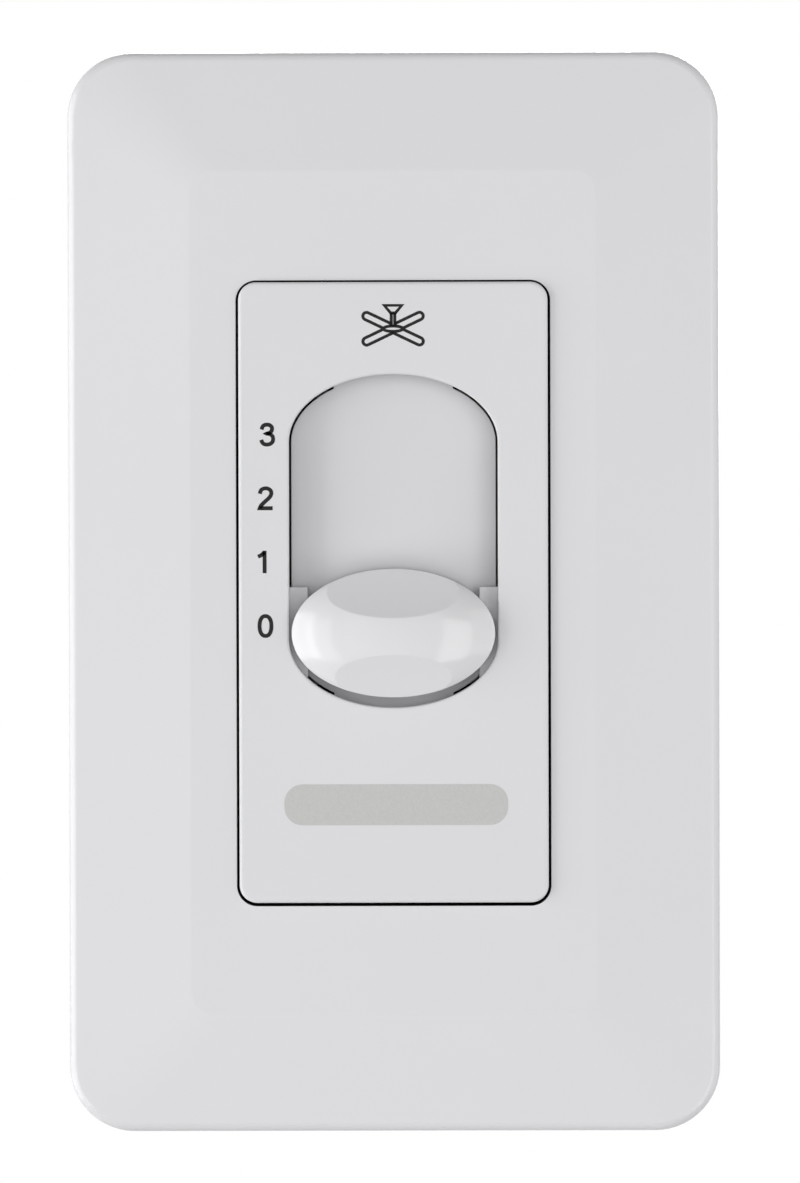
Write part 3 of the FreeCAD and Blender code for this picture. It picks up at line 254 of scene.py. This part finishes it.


# The plate, insert, floor and strap paints carry painted shade in their narrow gaps
paints = {
    "plate": plastic("plateWhite", (0.70, 0.70, 0.715), 0.2, edge=0.2, gap=shadedGaps["plate"]),
    "insert": plastic("insertWhite", (0.695, 0.695, 0.71), 0.38, edge=0.4, gap=shadedGaps["insert"]),
    "floor": plastic("floorWhite", (0.668, 0.662, 0.679), 0.42, edge=0.12, gap=shadedGaps["floor"]),
    "knob": plastic("knobWhite", (0.710, 0.705, 0.720), 0.15, grain=0.006, edge=0.25, coat=0.1),
    "frame": plastic("frameWhite", (0.60, 0.60, 0.61), 0.5, grain=0.06),
    "case": plastic("caseDark", (0.022, 0.022, 0.024), 0.45,
                    grain=0.9, grainScale=1600, cloud=0.1, edge=0.3),
    "nylon": plastic("guideNylon", (0.62, 0.59, 0.50), 0.45, grain=0.05),
    "board": plastic("boardBrown", (0.17, 0.085, 0.03), 0.4, grain=0.15, grainScale=900, cloud=0.12),
    "capacitor": plastic("capacitorCase", (0.52, 0.30, 0.03), 0.3, grain=0.04, edge=0.5),
    "wire": plastic("wireBlack", (0.02, 0.02, 0.02), 0.42, grain=0.05, cloud=0.1),
    "strap": metal("strapSteel", (0.47, 0.47, 0.46), 0.38, spangle=0.14, scale=500, gap=shadedGaps["strap"]),
    "screw": metal("screwSteel", (0.54, 0.53, 0.50), 0.26, scale=1400),
    "spring": metal("springSteel", (0.55, 0.55, 0.54), 0.25, scale=1200),
    "brass": metal("contactBrass", (0.70, 0.48, 0.18), 0.28, stretch=(1, 1, 6), scale=700),
    "ground": metal("groundGreen", (0.04, 0.22, 0.07), 0.34, scale=900),
    "resistor": resistorPaint(),
}

wears = {
    "plate": ["wall_plate"],
    "frame": ["plate_adapter"],
    "insert": ["bezel"],
    "floor": ["track_plate"],
    "knob": ["slide_knob"],
    "case": ["housing"],
    "nylon": ["guide_frame", "carriage"],
    "board": ["contact_board"],
    "capacitor": ["capacitor_low", "capacitor_medium"],
    "wire": ["line_jumper", "load_jumper"],
    "strap": ["strap"],
    "screw": ["adapter_screws", "box_screws", "housing_screws", "line_clamp", "load_clamp"],
    "spring": ["detent_spring", "contact_spring"],
    "brass": ["bridge_contact", "common_rail", "contact_low", "contact_medium", "contact_high",
              "line_terminal", "load_terminal", "terminal_screws"],
    "ground": ["ground_screw"],
    "resistor": ["resistor_low", "resistor_medium"],
}
for coat, names in wears.items():
    for name in names:
        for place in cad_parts[name].material_slots:
            place.material = paints[coat]
print("materials on", sum(len(names) for names in wears.values()), "nodes")


# Printing ink, a little uneven
inkWear = {"scale": 5200, "paler": 1.2, "lift": 0.001, "specular": 0.25}


def inkPaint(name, colour, roughness):
    paint = Paint(name, roughness=roughness, specular=inkWear["specular"])
    worn = paint.noise(inkWear["scale"], detail=2)
    paler = tuple(c * inkWear["paler"] + inkWear["lift"] for c in colour)
    paint.set(Base_Color=paint.mix(worn, colour, paler))
    return paint.material


inks = {
    "black": inkPaint("printBlack", (0.002, 0.002, 0.002), 0.6),
    "grey": inkPaint("printGrey", (0.49, 0.49, 0.485), 0.4),
}


def addPiece(name, work, material):
    # A finished mesh becomes a piece of the fixed body
    bmesh.ops.recalc_face_normals(work, faces=work.faces)
    mesh = bpy.data.meshes.new(name)
    work.to_mesh(mesh)
    work.free()
    mesh.materials.append(material)
    thing = bpy.data.objects.new(name, mesh)
    bpy.context.scene.collection.objects.link(thing)
    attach(thing, "control")


# Flat print: outlines in the plane of the insert's face, raised by a film's thickness
face = {
    "out": 7.6,  # from the wall to the face, mm
    "film": 0.015,
    "sunk": 0.002,  # how far the print goes into the face
    "step": 10,  # parts of a curve between two points
    "same": 1e-9,  # points nearer than this count as one
    "mitre": 0.5,  # keeps a sharp corner from reaching too far
}


def curveThrough(points):
    # A smooth curve through the points; a point given twice makes a corner
    if len(points) < 3:
        return [Vector(p) for p in points]
    last = len(points) - 1
    path = []
    for i in range(last):
        a, b, c, d = (Vector(points[min(max(i + k, 0), last)]) for k in (-1, 0, 1, 2))
        if (b - c).length < face["same"]:
            continue
        for k in range(face["step"]):
            u = k / face["step"]
            path.append(0.5 * ((2 * b) + (c - a) * u + (2 * a - 5 * b + 4 * c - d) * u * u
                               + (3 * b - a - 3 * c + d) * u ** 3))
    path.append(Vector(points[last]))
    return path


def ribbon(path, width, closed=False):
    # Two edges beside a path, mitred at its corners
    count = len(path)
    sides = []
    for i, here in enumerate(path):
        before = path[i - 1] if i or closed else here
        after = path[(i + 1) % count] if i < count - 1 or closed else here
        first = (here - before).normalized() if (here - before).length > face["same"] else None
        second = (after - here).normalized() if (after - here).length > face["same"] else None
        first, second = first or second, second or first
        normal = Vector((-first.y - second.y, first.x + second.x)).normalized()
        reach = width / 2 / max(normal.dot(Vector((-first.y, first.x))), face["mitre"])
        sides.append((here + normal * reach, here - normal * reach))
    return sides


def printOn(name, pieces, ink, centre, scale=1.0):
    # Each piece is (path, width, closed) or (outline, None, True) for a filled shape
    work = bmesh.new()
    back, front = -(face["out"] - face["sunk"]) * mm, -(face["out"] + face["film"]) * mm
    for path, width, closed in pieces:
        spot = [Vector((centre[0] + p.x * scale, centre[1] + p.y * scale)) * mm for p in path]
        if width is None:
            low = [work.verts.new((p.x, back, p.y)) for p in spot]
            high = [work.verts.new((p.x, front, p.y)) for p in spot]
            work.faces.new(high)
            work.faces.new(low[::-1])
            for i in range(len(spot)):
                k = (i + 1) % len(spot)
                work.faces.new((low[i], low[k], high[k], high[i]))
            continue
        rings = []
        for left, right in ribbon(spot, width * scale * mm, closed):
            rings.append([work.verts.new((p.x, y, p.y)) for p, y in
                          ((left, front), (right, front), (right, back), (left, back))])
        count = len(rings)
        for i in range(count if closed else count - 1):
            one, two = rings[i], rings[(i + 1) % count]
            for k in range(4):
                work.faces.new((one[k], two[k], two[(k + 1) % 4], one[(k + 1) % 4]))
        if not closed:
            work.faces.new(rings[0][::-1])
            work.faces.new(rings[-1])
    addPiece(name, work, inks[ink])


def ring(halfWidth, halfHeight, centre=(0, 0), count=48, power=2.0):
    # A closed oval; a power above 2 makes it squarer
    points = []
    for i in range(count):
        turn = 2 * math.pi * i / count
        c, s = math.cos(turn), math.sin(turn)
        points.append(Vector((centre[0] + halfWidth * math.copysign(abs(c) ** (2 / power), c),
                              centre[1] + halfHeight * math.copysign(abs(s) ** (2 / power), s))))
    return points


# Digits: strokes on a field one unit high, from the lower left corner, each with whether it is closed
digits = {
    "height": 2.42,
    "stroke": 0.175,
    "places": (("0", -14.50, -4.77), ("1", -14.62, 2.10),  # left and lower edge, mm
               ("2", -14.47, 8.92), ("3", -14.27, 15.74)),
    "paths": {
        "0": [(ring(0.262, 0.441, (0.32, 0.5), power=2.25), True)],
        "1": [([(0.338, 0.0), (0.338, 1.0)], False),
              ([(0.325, 0.93), (0.25, 0.845), (0.155, 0.78), (0.045, 0.735)], False)],
        "2": [([(0.075, 0.70), (0.12, 0.845), (0.21, 0.915), (0.33, 0.941), (0.455, 0.915), (0.55, 0.84),
                (0.582, 0.735), (0.555, 0.62), (0.47, 0.505), (0.32, 0.37), (0.17, 0.225), (0.10, 0.14),
                (0.07, 0.059), (0.07, 0.059), (0.64, 0.059)], False)],
        "3": [([(0.075, 0.725), (0.12, 0.85), (0.205, 0.92), (0.315, 0.941), (0.43, 0.92), (0.515, 0.85),
                (0.54, 0.755), (0.51, 0.65), (0.42, 0.575), (0.29, 0.545), (0.29, 0.545), (0.43, 0.525),
                (0.55, 0.44), (0.585, 0.305), (0.555, 0.18), (0.455, 0.09), (0.315, 0.059), (0.19, 0.083),
                (0.105, 0.155), (0.06, 0.27)], False)],
    },
}
for digit, left, bottom in digits["places"]:
    strokes = [(points if closed else curveThrough(points), digits["stroke"], closed)
               for points, closed in digits["paths"][digit]]
    printOn(f"digit_{digit}", strokes, "black", (left, bottom), digits["height"])

# Small ceiling-fan symbol in plain lines: a canopy, a rod, a hub and four long round-ended blades
symbol = {
    "centre": (0.03, 28.26), "line": 0.33, "hub": (1.05, 0.29), "hubSteps": 40,
    "tilt": 25.5, "half": 0.4, "tip": 3.14, "tipSteps": 12,
    "starts": {1: (0.47, 1.08), -1: (0.19, 1.08)},  # where the upper and the lower blades leave the hub
    "canopy": ((-0.94, 2.5), (0.94, 2.5), (0.25, 1.68), (-0.25, 1.68)),
    "rod": ((0.19, 1.7), (0.19, 0.3)),
}


def bladeOutline(flip, rise):
    # A long loop, open at the hub, tilted and then mirrored into its quarter
    outer, inner = symbol["starts"][rise]
    half, tip = symbol["half"], symbol["tip"]
    outline = [Vector((outer, half)), Vector((tip, half))]
    turns = [math.pi * k / symbol["tipSteps"] for k in range(1, symbol["tipSteps"])]
    outline += [Vector((tip + half * math.sin(t), half * math.cos(t))) for t in turns]
    outline += [Vector((tip, -half)), Vector((inner, -half))]
    turned = [Matrix.Rotation(math.radians(symbol["tilt"]), 2) @ p for p in outline]
    return [Vector((p.x * flip, p.y * rise)) for p in turned]


lines = [(bladeOutline(flip, rise), symbol["line"], False) for flip in (-1, 1) for rise in (-1, 1)]
lines.append((ring(*symbol["hub"], count=symbol["hubSteps"]), symbol["line"], True))
lines.append(([Vector(p) for p in symbol["canopy"]], symbol["line"], True))
for side in (-1, 1):
    lines.append(([Vector((side * x, y)) for x, y in symbol["rod"]], symbol["line"], False))
printOn("fan_symbol", lines, "black", symbol["centre"])

# Plain pale bar at the foot of the insert
bar = {"half": (12.0, 2.2), "corner": 1.95, "centre": (0.25, -22.75), "steps": 8}
outline = []
for k, (sx, sy) in enumerate(((1, 1), (-1, 1), (-1, -1), (1, -1))):
    middle = Vector((sx * (bar["half"][0] - bar["corner"]), sy * (bar["half"][1] - bar["corner"])))
    for i in range(bar["steps"] + 1):
        turn = math.radians(90 * k + 90 * i / bar["steps"])
        outline.append(middle + Vector((math.cos(turn), math.sin(turn))) * bar["corner"])
printOn("foot_bar", [(outline, None, True)], "grey", bar["centre"])
print("print done")

# Threads on the long screws: a ridge wound round each shank, fading in and out over one turn
threads = {
    "radius": 1.75, "pitch": 0.8, "steps": 24,
    "rise": 0.16, "sunk": 0.02, "half": 0.28,  # the ridge's height, its foot's depth and half its width
    "screws": {  # height either side of the middle, where the ridge starts and where it ends
        "box_screw_threads": (41.67, 0.8, 21.2),
        "adapter_screw_threads": (48.42, 0.6, 5.4),
    },
}


def woundRidge(work, up, start, end):
    steps, pitch = threads["steps"], threads["pitch"]
    count = int((end - start) / pitch * steps)
    rings = []
    for i in range(count + 1):
        turn = 2 * math.pi * i / steps
        fade = min(i, count - i, steps) / steps
        foot = -threads["sunk"]
        section = ((-threads["half"], foot), (0, threads["rise"] * fade), (threads["half"], foot))
        rings.append([work.verts.new(Vector((
            (threads["radius"] + rise) * math.cos(turn), start + pitch * i / steps + shift,
            up + (threads["radius"] + rise) * math.sin(turn))) * mm) for shift, rise in section])
    for one, two in zip(rings, rings[1:]):
        for k in range(3):
            work.faces.new((one[k], two[k], two[(k + 1) % 3], one[(k + 1) % 3]))
    work.faces.new(rings[0][::-1])
    work.faces.new(rings[-1])


for name, (up, start, end) in threads["screws"].items():
    work = bmesh.new()
    for side in (-1, 1):
        woundRidge(work, side * up, start, end)
    addPiece(name, work, paints["screw"])
print("threads done")

# Light: tall softboxes on both sides, raking ones further round, a broad one in front and one behind.
# Turn and rise are the angles from straight in front, the rest is in metres and watts.
lamps = {
    "keyLeft": {"turn": -44.5, "rise": -10, "away": 1.1, "wide": 0.53, "high": 1.12, "power": 2.8},
    "rakeLeft": {"turn": -78, "rise": -4, "away": 1.3, "wide": 1.5, "high": 1.6, "power": 19.9},
    "keyRight": {"turn": 34.5, "rise": -10, "away": 1.2, "wide": 0.47, "high": 1.12, "power": 4.35},
    "rakeRight": {"turn": 74, "rise": 0, "away": 1.3, "wide": 1.3, "high": 1.6, "power": 7.7},
    "frontSoft": {"turn": 0, "rise": 0, "away": 1.7, "wide": 1.5, "high": 1.7, "power": 5.65},
    "backSoft": {"turn": 170, "rise": 20, "away": 1.3, "wide": 0.9, "high": 0.9, "power": 14.0},
}
for name, box in lamps.items():
    lamp = bpy.data.lights.new(name, "AREA")
    lamp.shape = "RECTANGLE"
    lamp.size, lamp.size_y, lamp.energy = box["wide"], box["high"], box["power"]
    holder = bpy.data.objects.new(name, lamp)
    turn, rise = math.radians(box["turn"]), math.radians(box["rise"])
    way = Vector((math.sin(turn) * math.cos(rise), -math.cos(turn) * math.cos(rise), math.sin(rise)))
    holder.location = way * box["away"]
    holder.rotation_euler = (-holder.location).to_track_quat("-Z", "Y").to_euler()
    bpy.context.scene.collection.objects.link(holder)
print("lamps done")


def whiteToTheEye(nodes, plain, white, output):
    # The eye, gloss and glass see white, and the plain shader lights the object
    ray = nodes.node("ShaderNodeLightPath")
    seen = Wire(nodes, ray.outputs["Is Camera Ray"])
    for kind in ("Is Glossy Ray", "Is Transmission Ray"):
        seen = seen.atLeast(Wire(nodes, ray.outputs[kind]))
    both = nodes.node("ShaderNodeMixShader", {}, {
        "Fac": seen, 1: Wire(nodes, plain.outputs[0]), 2: Wire(nodes, white.outputs[0])})
    nodes.node(output, {}, {"Surface": Wire(nodes, both.outputs[0])})


# Surroundings: a pale room, and a plain pale floor, far enough down to leave the light as it is
studio = {"colour": (1.0, 1.0, 1.0), "room": 0.128, "white": 1.0,
          "floor": (0.8, 0.8, 0.8), "half": 1.5, "down": 2.0}
world = bpy.data.worlds.new("studio")
bpy.context.scene.world = world
world.use_nodes = True
sky = Nodes(world.node_tree)
room = sky.node("ShaderNodeBackground", {}, {"Color": studio["colour"], "Strength": studio["room"]})
blank = sky.node("ShaderNodeBackground", {}, {"Color": studio["colour"], "Strength": studio["white"]})
whiteToTheEye(sky, room, blank, "ShaderNodeOutputWorld")

ground = bpy.data.materials.new("studioFloor")
ground.use_nodes = True
under = Nodes(ground.node_tree)
pale = under.node("ShaderNodeBsdfDiffuse", {}, {"Color": studio["floor"]})
glow = under.node("ShaderNodeEmission", {}, {"Color": studio["colour"], "Strength": studio["white"]})
whiteToTheEye(under, pale, glow, "ShaderNodeOutputMaterial")
mesh = bpy.data.meshes.new("studioFloor")
half = studio["half"]
corners = [(x * half, y * half, -studio["down"]) for x, y in ((-1, -1), (1, -1), (1, 1), (-1, 1))]
mesh.from_pydata(corners, [], [(0, 1, 2, 3)])
mesh.materials.append(ground)
floor = bpy.data.objects.new("studioFloor", mesh)
bpy.context.scene.collection.objects.link(floor)
bpy.context.scene.view_settings.view_transform = "Standard"

# Camera: nearly straight on, a little to the right and above, with the photograph's slight tilt
view = {"sensor": 24, "lens": 168.97, "near": 0.01,
        "place": (9.1, -900, 13.3), "angles": (89.153, 0.145, 0.537)}  # mm and degrees
eye = bpy.data.cameras.new("eye")
eye.sensor_fit = "VERTICAL"
eye.sensor_height, eye.lens, eye.clip_start = view["sensor"], view["lens"], view["near"]
viewer = bpy.data.objects.new("eye", eye)
viewer.location = Vector(view["place"]) * mm
viewer.rotation_euler = [math.radians(angle) for angle in view["angles"]]
bpy.context.scene.collection.objects.link(viewer)
bpy.context.scene.camera = viewer
